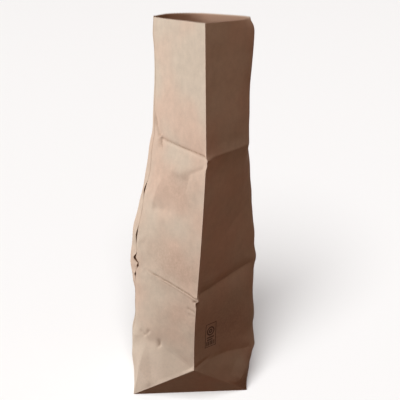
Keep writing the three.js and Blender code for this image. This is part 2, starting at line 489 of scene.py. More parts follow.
def zones(*rows: tuple) -> tuple[Dent, ...]:
    """Bell-shaped zones from rows of u, z, strength and two radii, the lengths in millimetres."""
    return tuple(Dent(metres((u, z)), much, metres((a, b))) for u, z, much, a, b in rows)


def dents(*rows: tuple) -> tuple[Dent, ...]:
    """Dents from rows of u, z, depth and two radii, all in millimetres."""
    return zones(*((u, z, metres(depth), a, b) for u, z, depth, a, b in rows))


def nudges(*rows: tuple, pointed: bool = False) -> tuple[Nudge, ...]:
    """Nudges from rows of u, z, push along x and y, and two radii, all in millimetres."""
    return tuple(
        Nudge(metres((u, z)), metres((x, y)), metres((a, b)), pointed) for u, z, x, y, a, b in rows
    )


def tones(*rows: tuple) -> tuple[ToneLine, ...]:
    """Tone lines from rows of path and half width in millimetres, strength and both fades."""
    return tuple(
        ToneLine(metres(path), metres(half), much, (first, last))
        for path, half, much, first, last in rows
    )


def with_images(marks: tuple) -> tuple:
    """Marks that reach the back crease, and again one girth to the left, so that they meet."""
    return marks + tuple(
        replace(mark, at=(mark.at[0] - 2 * HALF_GIRTH, mark.at[1])) for mark in marks
    )


# The folds across the sack, where it was folded in three.
UPPER_FOLD = creases(
    (((-150, 463), (-136, 461), (0, 459.5)), -4.2, 30, 42, 1.7, 0.12, 0.07),
    (((-144, 461), (0, 459.5)), -1.2, 3.6, 2.4, 1.0, 0.05, 0.001),
    (((0, 459.5), (120, 459), (160, 460)), 2.2, 20, 30, 1.7, 0.07, 0.5),
    (((-162, 505), (-156, 478), (-143, 462)), -4, 16, 5, 1.4, 0.4, 0.05),
    (((-141, 462), (-138, 452), (-127, 440)), -2.6, 8, 8, 1.5, 0.2, 0.5),
    (((-325, 460), (-200, 460)), 2, 20, 26, 1.7, 0.001, 0.3),
    (((200, 460), (325, 460)), -2.6, 22, 26, 1.7, 0.3, 0.001),
) + dents((0, 457, 1.6, 8, 5)) + with_images(dents((325, 459, 3, 10, 8)))
LOWER_FOLD = creases(
    (((-145, 237), (-65, 232), (0, 227.5)), 2.2, 24, 28, 1.7, 0.45, 0.07),
    (((-137, 235.5), (-65, 232), (0, 227.5)), -1.8, 3, 2.2, 1.0, 0.3, 0.001),
    (((-120, 231.5), (-60, 228), (-4, 223.5)), -0.6, 2, 3, 1.2, 0.4, 0.1),
    (((-137, 234), (-115, 221), (-77, 197)), -1.2, 12, 12, 1.6, 0.1, 0.6),
    (((0, 228.5), (75, 234), (171, 240)), -5.8, 22, 34, 1.7, 0.07, 0.25),
    (((-325, 230), (-200, 238)), -3, 26, 30, 1.7, 0.001, 0.3),
    (((200, 238), (325, 230)), -3, 26, 30, 1.7, 0.3, 0.001),
) + dents(
    (0, 229, 3, 8, 6),
    (-3, 219.5, -2.6, 6, 3),
) + with_images(dents((325, 230, 3.6, 10, 8)))
# Facets and small creases from handling, and the hollows between them.
HANDLING = creases(
    (((-102, 418), (-74, 420), (-44, 423)), 3.4, 26, 12, 1.3, 0.3, 0.3),
    (((-50, 421), (-30, 431), (-7, 443)), -1.8, 6, 14, 1.4, 0.25, 0.15),
    (((-46, 392), (-45, 424)), -1.6, 10, 10, 1.5, 0.5, 0.3),
    (((-136, 345), (-97, 350), (-62, 351)), -3.6, 28, 15, 1.5, 0.15, 0.45),
    (((-134, 346), (-124, 380), (-107, 411)), 3.6, 16, 30, 1.4, 0.25, 0.4),
    (((-162, 275), (-136, 293)), 1.4, 10, 10, 1.6, 0.2, 0.5),
    (((-150, 262), (-128, 240)), -1, 10, 8, 1.6, 0.4, 0.3),
    (((-24, 201.5), (-1, 201)), -1.7, 3, 3, 1.2, 0.4, 0.1),
    (((-20, 192), (-1, 193.5)), -1.3, 3, 3, 1.2, 0.4, 0.1),
    (((-128, 120), (-114, 112), (-104, 116)), -2.2, 7, 6, 1.4, 0.3, 0.3),
    (((-106, 116), (-96, 131)), -1.6, 7, 6, 1.4, 0.3, 0.5),
    (((-78, 99), (-72, 107), (-76, 120)), -2.3, 7, 5, 1.4, 0.4, 0.4),
    (((-68, 24), (-87, 76), (-95, 100)), -1.8, 26, 28, 1.6, 0.35, 0.35),
    (((-70, 20), (-110, 62), (-138, 84)), 3, 26, 30, 1.5, 0.2, 0.25),
    (((78, 20), (101, 46), (142, 64)), 5.4, 24, 18, 1.3, 0.25, 0.3),
    (((1, 86), (21, 95), (39, 101)), -1.6, 8, 8, 1.5, 0.02, 0.4),
    (((28, 94), (78, 91), (135, 76)), -3.5, 24, 34, 1.6, 0.3, 0.1),
    (((96, 470), (110, 520), (112, 590)), -1.4, 20, 20, 1.8, 0.4, 0.4),
    (((50, 300), (90, 330), (135, 345)), -1.2, 20, 20, 1.8, 0.4, 0.4),
    (((-120, 590), (-80, 600), (-30, 592)), -0.9, 18, 18, 1.8, 0.4, 0.4),
    (((-130, 520), (-100, 545)), -0.8, 14, 14, 1.8, 0.4, 0.4),
    (((-150, 100), (-110, 106), (-71, 107), (-43, 97), (0, 83)), -3, 26, 34, 1.6, 0.3, 0.05),
) + dents(
    (150, 104, -3.5, 30, 34),
    (140, 26, 2, 30, 18),
    (-185, 262, 1.2, 30, 60),
    (134, 655, -10.5, 32, 13),
    (152, 52, -2.5, 26, 24),
    (-205, 645, 2.4, 30, 60),
)
# Where the sack's outline strays from its plain sections.
NUDGES = nudges(
    (0, 456.8, 1.4, -0.8, 10, 2.6),
    (0, 450, 1.8, 0, 14, 7),
    (0, 225, 3, -1, 12, 3.6),
    (0, 217, -1.6, 0, 10, 4),
    (-165, 640, 2.4, 0, 30, 80),
) + with_images(
    nudges((240, 655, 0, -6, 60, 50)) + nudges((325, 655, 0, -10, 34, 110), pointed=True)
) + nudges(
    (-170, 394, 5.4, 0, 30, 30),
    (-190, 300, -2.4, 0, 30, 22),
    (-172, 232, 2.6, 0, 30, 10),
    (-165, 196, -1.8, 0, 30, 12),
    (-140, 118, 5.8, 0, 30, 24),
    (-142, 58, -1.2, 0, 30, 18),
    (130, 545, -2.8, 0, 30, 50),
    (112, 490, -1.4, 0, 30, 18),
    (155, 360, -1.2, 0, 30, 35),
    (160, 243, 4, 0, 30, 14),
    (145, 172, -4.2, 0, 30, 24),
    (130, 108, -4, 0, 30, 16),
    (120, 30, 1.2, 0, 30, 20),
)
# Lines painted lighter: creases rubbed light, with painted highlights along crease edges and under
# the folds.
WEAR_AND_LIGHT_LINES = tones(
    (((0, 84), (0, 650)), 1.6, 0.55, 0.001, 0.001),
    (((-325, 84), (-325, 650)), 1.6, 0.55, 0.001, 0.001),
    (((325, 84), (325, 650)), 1.6, 0.55, 0.001, 0.001),
    (((0, 460.5), (120, 460), (200, 461)), 3, 0.22, 0.001, 0.5),
    (((-120, 233.5), (-60, 229.8), (-2, 225.3)), 1, 0.6, 0.3, 0.01),
    (((-140, 456.5), (0, 455.5)), 2.2, 0.35, 0.2, 0.05),
)
# Lines painted darker: dirt held in the creases, together with painted shade in them.
DIRT_AND_SHADE_LINES = tones(
    (((-144, 461.5), (-136, 461), (0, 459.5)), 1, 0.9, 0.05, 0.001),
    (((-134, 235), (-65, 232), (0, 227.5)), 1.2, 0.75, 0.25, 0.001),
    (((-100, 229.5), (-60, 227.3), (-2, 222.5)), 1.2, 0.4, 0.3, 0.1),
    (((-9, 222), (-1, 220.5)), 1.4, 0.9, 0.3, 0.01),
    (((0, 458.5), (115, 458)), 1.6, 0.25, 0.001, 0.4),
    (((0, 228.5), (75, 234), (171, 240)), 3, 0.22, 0.001, 0.3),
    (((-24, 202), (-1, 201.5)), 1.4, 0.5, 0.3, 0.05),
    (((-20, 192.5), (-1, 194)), 1.4, 0.36, 0.3, 0.05),
    # Painted shade: a wide dark band over the facet low on the right, which faces away from the
    # lamps.
    (((94, 4), (112, 24), (142, 52)), 20, 0.85, 0.05, 0.05),
    (((-141, 462), (-138, 452), (-127, 440)), 2, 0.45, 0.1, 0.6),
    (((-76, 103), (-72, 108), (-75, 114)), 1.6, 0.3, 0.3, 0.3),
)
# Broad zones of painted light (paler) and painted shade (darker), where faces turn towards or away
# from the lamps.
PAINTED_LIGHT_ZONES = zones(
    (-90, 45, 0.86, 78, 50),
    (78, 68, 0.14, 42, 26),
    (-80, 350, 0.1, 80, 24),
)
PAINTED_SHADE_ZONES = zones(
    (-70, 392, 0.26, 48, 36),
    (-65, 268, 0.32, 70, 42),
    (-45, 165, 0.16, 70, 40),
    (80, 150, 0.52, 70, 45),
    (65, 480, 0.09, 60, 24),
    (85, 262, 0.22, 70, 26),
    (60, 205, 0.16, 60, 22),
    (70, 350, 0.12, 70, 30),
)
# Zones that are rosier (positive) or yellower (negative). Some yellower ones, at the top left,
# under the upper fold and at the foot, paint in cooler light.
TONE_AND_LIGHT_TINTS = zones(
    (-70, 505, 0.5, 90, 50),
    (-90, 395, 0.45, 80, 35),
    (-70, 335, -0.35, 70, 22),
    (-50, 300, 0.25, 80, 40),
    (-70, 600, -0.7, 100, 60),
    (-80, 442, -0.45, 70, 16),
    (-80, 50, -1.2, 90, 50),
    (-100, 130, -0.4, 45, 45),
    (80, 300, 0.35, 100, 80),
    (60, 560, -0.3, 90, 80),
    (240, 350, 0.4, 70, 90),
    (-260, 480, -0.4, 60, 90),
)


@dataclass(frozen=True)
class Wrinkles:
    """Everything that keeps the paper from lying smooth, where it has been handled, and where light
    and shade are painted on it.
    """

    marks: tuple[Crease | Dent, ...] = UPPER_FOLD + LOWER_FOLD + HANDLING
    worn_and_lit: tuple[ToneLine, ...] = WEAR_AND_LIGHT_LINES
    dirty_and_shaded: tuple[ToneLine, ...] = DIRT_AND_SHADE_LINES
    painted_light: tuple[Dent, ...] = PAINTED_LIGHT_ZONES
    painted_shade: tuple[Dent, ...] = PAINTED_SHADE_ZONES
    tone_and_light_tints: tuple[Dent, ...] = TONE_AND_LIGHT_TINTS
    nudges: tuple[Nudge, ...] = NUDGES
    cockles: tuple[Cockle, ...] = (Cockle(0.0015, 0.070, 3), Cockle(0.00085, 0.026, 8))
    stiff_width: float = 0.02

    def relief(self, tube: Tube, u: Array, z: Array) -> Array:
        """How far the paper stands proud of the plain wall. Near a sharp crease it can't cockle."""
        free = smooth(tube.from_crease(u) / self.stiff_width)
        out = sum(cockle.relief(u, z) for cockle in self.cockles) * free
        return out + sum(mark.relief(u, z) for mark in self.marks)

    def tones(self, u: Array, z: Array) -> Array:
        """How much wear and painted light, how much dirt and painted shade, and how rosy each place
        is: twice from 0 to 1, and around 0.
        """

        def spread(marks: tuple[Dent, ...]) -> Array:
            """All of the zones together."""
            return sum(mark.relief(u, z) for mark in marks)

        worn_and_lit = held(sum(rub.amount(u, z) for rub in self.worn_and_lit) + spread(self.painted_light))
        dirty_and_shaded = held(sum(rub.amount(u, z) for rub in self.dirty_and_shaded) + spread(self.painted_shade))
        return np.stack([worn_and_lit, dirty_and_shaded, spread(self.tone_and_light_tints)], axis=-1)


@dataclass
class Patch:
    """Points of paper with their triangles.

    Places on the paper (u, z) are kept as UV coordinates, and tones say how much wear and painted
    light, how much dirt and painted shade, and how rosy each point is.
    """

    points: Array
    triangles: Array
    uvs: Array
    tones: Array

    @classmethod
    def grid(cls, points: Array, uvs: Array, tones: Array | None = None) -> "Patch":
        """A patch from a grid of rows and columns, which is seen from outside."""
        rows, columns = points.shape[:2]
        count = rows * columns
        tones = np.zeros((count, 3)) if tones is None else tones.reshape(count, 3)
        triangles = grid_triangles(rows, columns)
        return cls(points.reshape(count, 3), triangles, uvs.reshape(count, 2), tones)

    @classmethod
    def joined(cls, patches: list["Patch"], extra: Array | None = None) -> "Patch":
        """Several patches as one, and extra triangles that count through all their points."""
        starts = np.cumsum([0] + [len(patch.points) for patch in patches])
        triangles = [patch.triangles + start for patch, start in zip(patches, starts)]
        if extra is not None:
            triangles.append(extra)
        return cls(
            np.concatenate([patch.points for patch in patches]),
            np.concatenate(triangles),
            np.concatenate([patch.uvs for patch in patches]),
            np.concatenate([patch.tones for patch in patches]),
        )

    def same(self) -> tuple[Array, Array]:
        """First point of each place, and the number of each point's place."""
        keys = np.round(self.points / WELD).astype(np.int64)
        _, first, index = np.unique(keys, axis=0, return_index=True, return_inverse=True)
        return first, index.reshape(-1)

    def build(self, name: str, finish: Material) -> Object:
        """Weld the patch, drop the triangles that this empties, and make it a mesh object.

        Args:
            name: Name of the piece.
            finish: Its material.

        Returns:
            The new object at the origin, linked to the scene.
        """
        first, index = self.same()
        joined = index[self.triangles]
        a, b, c = joined.T
        kept = (a != b) & (b != c) & (c != a)
        triangles = np.ascontiguousarray(joined[kept], dtype=np.int32)
        uvs = np.ascontiguousarray(self.uvs[self.triangles[kept]], dtype=np.float32)
        mesh = bpy.data.meshes.new(name)
        mesh.vertices.add(len(first))
        mesh.vertices.foreach_set("co", self.points[first].astype(np.float32).ravel())
        mesh.loops.add(triangles.size)
        mesh.loops.foreach_set("vertex_index", triangles.ravel())
        mesh.polygons.add(len(triangles))
        mesh.polygons.foreach_set("loop_start", np.arange(0, triangles.size, 3, dtype=np.int32))
        mesh.polygons.foreach_set("loop_total", np.full(len(triangles), 3, dtype=np.int32))
        mesh.uv_layers.new(name="paper").uv.foreach_set("vector", uvs.ravel())
        # The wear layer also carries painted light, and the dirt layer carries painted shade.
        for column, label in enumerate(("wear_and_light", "dirt_and_shade", "rosy")):
            layer = mesh.attributes.new(name=label, type="FLOAT", domain="POINT")
            layer.data.foreach_set("value", self.tones[first, column].astype(np.float32))
        mesh.update(calc_edges=True)
        mesh.validate()
        mesh.polygons.foreach_set("use_smooth", np.ones(len(triangles), dtype=bool))
        mesh.set_sharp_from_angle(angle=math.radians(SHARP_ANGLE))
        mesh.materials.append(finish)
        return placed(name, mesh)


def grid_triangles(rows: int, columns: int) -> Array:
    """Triangles of a grid of points that are numbered row by row, seen counter-clockwise."""
    index = np.arange(rows * columns).reshape(rows, columns)
    a, b = index[:-1, :-1].ravel(), index[:-1, 1:].ravel()
    c, d = index[1:, 1:].ravel(), index[1:, :-1].ravel()
    return np.concatenate([np.stack([a, b, c], 1), np.stack([a, c, d], 1)])


def grid_normals(points: Array) -> Array:
    """Outward normals of a grid: across the columns' and the rows' differences."""
    return unit(np.cross(np.gradient(points, axis=1), np.gradient(points, axis=0)))


@dataclass(frozen=True)
class Teeth:
    """The mouth's saw-toothed cut.

    It has a depth, is cut in a last row of paper whose height is the root, and repeats after a
    few columns of the sheet.
    """

    depth: float = 0.0026
    root: float = 0.0052
    columns: int = 3

    def drop(self, column: Array) -> Array:
        """How far the cut lies under its tips: a zigzag that repeats after so many columns."""
        phase = (column % self.columns) / self.columns
        return self.depth * (1 - np.abs(2 * phase - 1))


@dataclass
class Sheet:
    """The tube of paper with its block bottom, as one closed thin shell.

    Its rows draw together at the folds by the crowding. Its relief starts from nothing over the
    flat foot. Its thickness goes from the rim's to the wall's over the rim's reach, and at a
    corner it is divided by a cosine, which counts as no less than the least.
    """

    tube: Tube
    wrinkles: Wrinkles
    teeth: Teeth = Teeth()
    columns: tuple[int, int, int, int] = (52, 30, 30, 52)
    rows: tuple[int, int, int] = (48, 76, 62)
    foot_rows: int = 32
    end_rows: int = 12
    base_rings: int = 2
    crowding: float = 0.5
    flat_foot: float = 0.008
    rim_thickness: float = 0.0004
    wall_thickness: float = 0.0012
    rim_reach: float = 0.030
    least_cosine: float = 0.5

    def stations(self) -> Array:
        """Places u of the columns, with one on each crease, corner and seam."""
        width, gusset = self.tube.flat_width, self.tube.gusset
        marks = (0, gusset, width / 2, width - gusset, width)
        half = [
            np.linspace(a, b, count, endpoint=False)
            for a, b, count in zip(marks, marks[1:], self.columns)
        ]
        right = np.append(np.concatenate(half), width)
        return np.concatenate([-right[:0:-1], right])

    def shares(self, rows: int) -> Array:
        """Places of a stretch's rows from 0 to 1, crowded at both ends by a sine."""
        t = np.linspace(0, 1, rows + 1)
        return t - self.crowding * np.sin(2 * np.pi * t) / (2 * np.pi)

    def plain(self, u: Array, step: int) -> tuple[Array, Array]:
        """Rows of the plain wall from the crease where it turns under up to the mouth.

        Args:
            u: Places of the columns.
            step: Take only one row in so many.

        Returns:
            The grid of points, and for each point how much relief it may take.
        """
        fold, turn, _ = self.tube.foot(u)
        share = np.linspace(0, 1, self.foot_rows + 1)[::step]
        foot = turn + (fold - turn) * share[:, None, None]
        rows = [foot]
        for index, count in enumerate(self.rows):
            t = self.shares(count)
            if index == len(self.rows) - 1:
                length = self.tube.mouth.height - self.tube.upper_fold.height
                t = np.append(self.shares(count - 1) * (1 - self.teeth.root / length), 1.0)
            t = t[::step][1:]
            wall_u = np.broadcast_to(u, (len(t), len(u)))
            rows.append(self.tube.wall(index, wall_u, np.broadcast_to(t[:, None], wall_u.shape)))
        grid = np.concatenate(rows)
        free = smooth((grid[..., 2] - turn[:, 2]) / self.flat_foot)
        return grid, free

    def normals(self, grid: Array) -> Array:
        """Outward normals of a grid that closes on itself round the sack."""
        round_it = np.concatenate([grid[:, -2:-1], grid, grid[:, 1:2]], axis=1)
        return unit(np.cross(round_it[:, 2:] - round_it[:, :-2], np.gradient(grid, axis=0)))

    def skin(self, step: int) -> tuple[Patch, Array]:
        """The whole skin of the sack.

        Args:
            step: Take only one column and one row in so many.

        Returns:
            The skin, not yet welded, and the indices of the mouth's rim.
        """
        u = self.stations()[::step]
        wrinkles = self.wrinkles
        grid, free = self.plain(u, step)
        z = grid[..., 2].copy()
        relief = wrinkles.relief(self.tube, u[None, :], z) * free
        grid = grid + self.normals(grid) * relief[..., None]
        grid = grid + sum(nudge.shift(u[None, :], z) for nudge in wrinkles.nudges) * free[..., None]
        from_front = np.abs(np.arange(len(u)) - len(u) // 2)
        grid[-1, :, 2] -= self.teeth.drop(from_front) if step == 1 else self.teeth.depth
        wall_uv = np.stack([np.broadcast_to(u, z.shape), z], -1)
        wall = Patch.grid(grid, wall_uv, wrinkles.tones(u[None, :], z))
        _, _, edge = self.tube.foot(u)
        share = np.linspace(0, 1, self.end_rows // step + 1)[:, None, None]
        under = edge + (grid[0] - edge) * share
        under_uv = np.stack([np.broadcast_to(u, under.shape[:2]), under[..., 2] - UNDER], -1)
        middle = edge.mean(axis=0)
        share = np.linspace(0, 1, self.base_rings + 1)[:, None, None]
        base = middle + (edge - middle) * share
        patches = [wall, Patch.grid(under, under_uv), Patch.grid(base, base[..., :2] - UNDER)]
        return Patch.joined(patches), np.arange(z.size - len(u), z.size)

    def corner_normals(self, points: Array, triangles: Array) -> tuple[Array, Array]:
        """Mean outward normal at each point, weighted by area.

        Returns:
            The unit normals, and for each point the least cosine between it and its faces.
        """
        a, b, c = (points[triangles[:, i]] for i in range(3))
        cross = np.cross(b - a, c - a)
        total = np.zeros_like(points)
        for i in range(3):
            np.add.at(total, triangles[:, i], cross)
        normal, facing = unit(total), unit(cross)
        least = np.ones(len(points))
        for i in range(3):
            np.minimum.at(least, triangles[:, i], (facing * normal[triangles[:, i]]).sum(axis=1))
        return normal, least

    def lining(self) -> tuple[Patch, Array]:
        """The inside of the sack: a coarser skin, moved inwards and turned inside out.

        Returns:
            The lining and the indices of its rim.
        """
        skin, rim = self.skin(step=2)
        first, index = skin.same()
        joined = index[skin.triangles]
        a, b, c = joined.T
        whole = (a != b) & (b != c) & (c != a)
        points = skin.points[first]
        normal, least = self.corner_normals(points, joined[whole])
        grown = smooth((self.tube.mouth.height - points[:, 2]) / self.rim_reach)
        thickness = self.rim_thickness + (self.wall_thickness - self.rim_thickness) * grown
        inner = points - normal * (thickness / np.maximum(least, self.least_cosine))[:, None]
        uvs = skin.uvs + [LINING_SHIFT, 0.0]
        return Patch(inner[index], skin.triangles[whole][:, ::-1], uvs, skin.tones * 0), rim

    def rim_strip(self, outer_rim: Array, inner_rim: Array) -> Array:
        """The paper's cut edge: triangles between the fine outer and the coarser inner rim."""
        o0, o1, o2 = outer_rim[:-2:2], outer_rim[1:-1:2], outer_rim[2::2]
        i0, i1 = inner_rim[:-1], inner_rim[1:]
        fans = ((o0, o1, i0), (o1, i1, i0), (o1, o2, i1))
        return np.concatenate([np.stack(fan, axis=1) for fan in fans])

    def build(self, name: str, finish: Material) -> Object:
        """Build the sheet as one closed mesh and dress it."""
        skin, rim = self.skin(step=1)
        lining, inner_rim = self.lining()
        strip_faces = self.rim_strip(rim, inner_rim + len(skin.points))
        sheet = Patch.joined([skin, lining], strip_faces)
        sheet.points = sheet.points - np.append(self.tube.centre, 0.0)
        return sheet.build(name, finish)


@dataclass(frozen=True)
class Lift:
    """A place where the lap's edge has come unstuck: its height, length and how far it stands."""

    height: float
    length: float
    stand: float


@dataclass
class Lap:
    """The glued lap down the left face: a strip of paper on the wall, with its edge open.

    It rises from its root to where it lies over the glued share of its width. Its edge is given
    as heights and places u.
    """

    sheet: Sheet
    width: float = 0.018
    columns: int = 8
    root: float = -0.0002
    lie: float = 0.0004
    thickness: float = 0.00035
    glued: float = 0.3
    edge: tuple[Pair, ...] = metres((
        (0, -162.5), (180, -161.5), (208, -157), (224, -159), (232, -154.5), (240, -153.5),
        (247, -163.5), (254, -160), (262, -160), (266, -164.5), (283, -165.5), (311, -164),
        (338, -165), (360, -171), (378, -171.5), (400, -166), (418, -162.5), (650, -162.5),
    ))
    lifts: tuple[Lift, ...] = (
        Lift(0.367, 0.030, 0.0022),
        Lift(0.288, 0.036, 0.0022),
        Lift(0.246, 0.022, 0.0038),
        Lift(0.234, 0.012, 0.0030),
        Lift(0.216, 0.012, 0.0022),
    )

    def shell(self, grid: Array, normal: Array, stand: Array, uvs: Array, tones: Array) -> Patch:
        """A thin strip with a top, an underside and edges.

        Args:
            grid: Places on the wall.
            normal: Outward directions there.
            stand: How far the top stands off the wall.
            uvs: Places on the paper.
            tones: How much wear and painted light, how much dirt and painted shade, and how rosy
                they are.

        Returns:
            The closed strip.
        """
        top = grid + normal * stand[..., None]
        under = top - normal * self.thickness
        rows, columns = stand.shape
        count = rows * columns
        ring = np.concatenate([
            np.arange(columns),
            np.arange(2 * columns - 1, count, columns),
            np.arange(count - 2, count - columns - 1, -1),
            np.arange(count - 2 * columns, 0, -columns),
        ])
        after = np.roll(ring, -1)
        sides = np.concatenate([
            np.stack([ring, ring + count, after], 1),
            np.stack([after, ring + count, after + count], 1),
        ])
        front, back = Patch.grid(top, uvs, tones), Patch.grid(under, uvs, tones)
        back.triangles = back.triangles[:, ::-1]
        return Patch.joined([front, back], sides)

    def build(self, name: str, finish: Material) -> Object:
        """Build the strip on the wall and dress it."""
        sheet, tube = self.sheet, self.sheet.tube
        share = np.linspace(0, 1, self.columns + 1)
        root = tube.seam - self.width
        heights, edges = np.transpose(self.edge)
        ruler = np.linspace(root, edges.max(), 2 * self.columns)
        plain, free = sheet.plain(ruler, 1)
        edge = np.interp(plain[:, :1, 2], heights, edges)
        u = root + (edge - root) * share
        place = (u - root) / (ruler[1] - root)
        left = np.minimum(place.astype(int), len(ruler) - 2)
        row = np.arange(len(plain))[:, None]
        part = (place - left)[..., None]
        grid = plain[row, left] * (1 - part) + plain[row, left + 1] * part
        z = grid[..., 2]
        out = sheet.wrinkles.relief(tube, u, z) * free[row, left]
        grid = grid + sum(nudge.shift(u, z) for nudge in sheet.wrinkles.nudges)
        open_edge = np.zeros_like(z)
        for lift in self.lifts:
            near = smooth(1 - np.abs(z - lift.height) / (lift.length / 2))
            open_edge = np.maximum(open_edge, lift.stand * near)
        lie = self.root + (self.lie - self.root) * smooth(share / self.glued)
        stand = out + (lie + open_edge * share**2)
        uvs, toned = np.stack([u, z], -1), sheet.wrinkles.tones(u, z)
        lap = self.shell(grid, grid_normals(grid), stand, uvs, toned)
        lap.points = lap.points - np.append(tube.centre, 0.0)
        return lap.build(name, finish)


class Socket(Enum):
    """The kinds of socket that the paper's node groups have."""

    COLOUR = "NodeSocketColor"
    VALUE = "NodeSocketFloat"
    VECTOR = "NodeSocketVector"


class Board:
    """A node tree with short ways to add nodes and to wire or set their sockets."""

    def __init__(self, tree: NodeTree) -> None:
        """Work on the given tree."""
        self.tree = tree

    def put(self, socket: NodeSocket, value: Any) -> None:
        """Wire a socket to another one, or set it to a number, a tuple or a colour."""
        if isinstance(value, NodeSocket):
            self.tree.links.new(value, socket)
        elif socket.type == "RGBA" and len(value) == 3:
            socket.default_value = (*value, 1)
        else:
            socket.default_value = value

    def shade(self, inputs: dict[str, Any]) -> None:
        """Wire or set sockets of the material's shader."""
        for name, value in inputs.items():
            self.put(self.tree.nodes["Principled BSDF"].inputs[name], value)

    def add(self, kind: str, inputs: dict[str | int, Any], **settings: Any) -> Node:
        """Add a node.

        Args:
            kind: The node's type, without its ShaderNode prefix.
            inputs: What goes into its sockets, by name or number.
            settings: Its own settings.

        Returns:
            The new node.
        """
        node = self.tree.nodes.new("ShaderNode" + kind)
        for name, value in settings.items():
            setattr(node, name, value)
        for key, value in inputs.items():
            self.put(node.inputs[key], value)
        return node

    def math(self, operation: str, *terms: Any) -> NodeSocket:
        """One step of arithmetic."""
        return self.add("Math", dict(enumerate(terms)), operation=operation).outputs[0]

    def vector(self, operation: str, *terms: Any) -> Node:
        """One step of vector arithmetic."""
        return self.add("VectorMath", dict(enumerate(terms)), operation=operation)

    def split(self, place: Any) -> NodeOutputs:
        """The parts of a vector."""
        return self.add("SeparateXYZ", {0: place}).outputs

    def noise(self, place: Any, scale: float, detail: float, rough: float = 0.5) -> NodeSocket:
        """Smooth noise around one half, of which each finer layer is rough times as strong."""
        inputs = {"Vector": place, "Scale": scale, "Detail": detail, "Roughness": rough}
        return self.add("TexNoise", inputs).outputs["Fac"]

    def mark(self, name: str) -> NodeSocket:
        """A value that the mesh keeps at its points."""
        return self.add("Attribute", {}, attribute_name=name).outputs["Fac"]

    def step(
        self, value: Any, start: float, end: float, low: float = 0.0, high: float = 1.0
    ) -> NodeSocket:
        """A soft step from low to high while the value goes from start to end."""
        inputs = {"Value": value, "From Min": start, "From Max": end, "To Min": low, "To Max": high}
        return self.add("MapRange", inputs, interpolation_type="SMOOTHSTEP").outputs[0]

    def mix(self, share: Any, first: Any, second: Any, blend: str = "MIX") -> NodeSocket:
        """Two colours mixed by a share."""
        node = self.add("Mix", {0: share, 6: first, 7: second}, data_type="RGBA", blend_type=blend)
        return node.outputs[2]

    def place(self, group: NodeTree, inputs: dict[str, Any]) -> NodeOutputs:
        """Place a node group."""
        return self.add("Group", inputs, node_tree=group).outputs


def paint(name: str) -> tuple[Material, Board]:
    """A new material and its nodes."""
    material = bpy.data.materials.new(name)
    material.use_nodes = True
    return material, Board(material.node_tree)


class Effect:
    """A node group with named inputs and outputs, built once and placed in each material."""

    def __init__(self, name: str, inputs: dict[str, Socket], outputs: dict[str, Socket]) -> None:
        """Make the empty group.

        Args:
            name: The group's name.
            inputs: Its inputs and their kinds.
            outputs: Its outputs and their kinds.
        """
        self.group = bpy.data.node_groups.new(name, "ShaderNodeTree")
        for in_out, sockets in (("INPUT", inputs), ("OUTPUT", outputs)):
            for label, kind in sockets.items():
                self.group.interface.new_socket(label, in_out=in_out, socket_type=kind.value)
        self.board = Board(self.group)
        self.inputs = self.group.nodes.new("NodeGroupInput").outputs
        self.outputs = self.group.nodes.new("NodeGroupOutput").inputs

    def give(self, **results: Any) -> NodeTree:
        """Wire the results to the group's outputs and return the finished group."""
        for label, value in results.items():
            self.board.put(self.outputs[label], value)
        return self.group


@dataclass(frozen=True)
class PaperGrain:
    """Unbleached kraft: slow blotches of two hues, clouds of fibre, and faint streaks along it.

    A noise is its scale, its number of layers and how strong each finer layer is. The shades
    say how much clouds, flecks and streaks change the brightness, and the heights how much flecks
    and streaks stand out beside the clouds. The roughness is a soft step over the flecks.
    """

    blotch: Triple = (12.0, 1.5, 0.5)
    cloud: Triple = (75.0, 5.0, 0.62)
    fleck: Triple = (520.0, 2.0, 0.6)
    streak: Triple = (1.0, 2.0, 0.5)
    streak_stretch: Triple = (620.0, 46.0, 1.0)
    blotch_edge: Pair = (0.28, 0.72)
    straw_range: Pair = (-0.25, 1.25)
    brightness: float = 0.97
    shades: Triple = (0.30, 0.16, 0.07)
    heights: Pair = (0.18, 0.25)
    roughness: Quad = (0.3, 0.7, 0.80, 0.92)

    def build(self) -> NodeTree:
        """Make the node group."""
        effect = Effect(
            "paper_grain",
            {
                "Paper": Socket.VECTOR,
                "Rosy": Socket.COLOUR,
                "Straw": Socket.COLOUR,
                "Tint": Socket.VALUE,
            },
            {"Colour": Socket.COLOUR, "Height": Socket.VALUE, "Rough": Socket.VALUE},
        )
        board, inputs = effect.board, effect.inputs
        paper = inputs["Paper"]
        blotch, cloud, fleck = (
            board.noise(paper, *noise) for noise in (self.blotch, self.cloud, self.fleck)
        )
        stretched = board.vector("MULTIPLY", paper, self.streak_stretch).outputs[0]
        streak = board.noise(stretched, *self.streak)
        straw = board.math("SUBTRACT", board.step(blotch, *self.blotch_edge), inputs["Tint"])
        hue = board.mix(board.step(straw, *self.straw_range), inputs["Rosy"], inputs["Straw"])
        shade = self.brightness
        for noise, weight in zip((cloud, fleck, streak), self.shades):
            shade = board.math("MULTIPLY_ADD", board.math("SUBTRACT", noise, 0.5), weight, shade)
        height = cloud
        for noise, weight in zip((fleck, streak), self.heights):
            height = board.math("MULTIPLY_ADD", noise, weight, height)
        grey = board.add("CombineColor", {0: shade, 1: shade, 2: shade}).outputs[0]
        colour = board.mix(1.0, hue, grey, "MULTIPLY")
        return effect.give(Colour=colour, Height=height, Rough=board.step(fleck, *self.roughness))


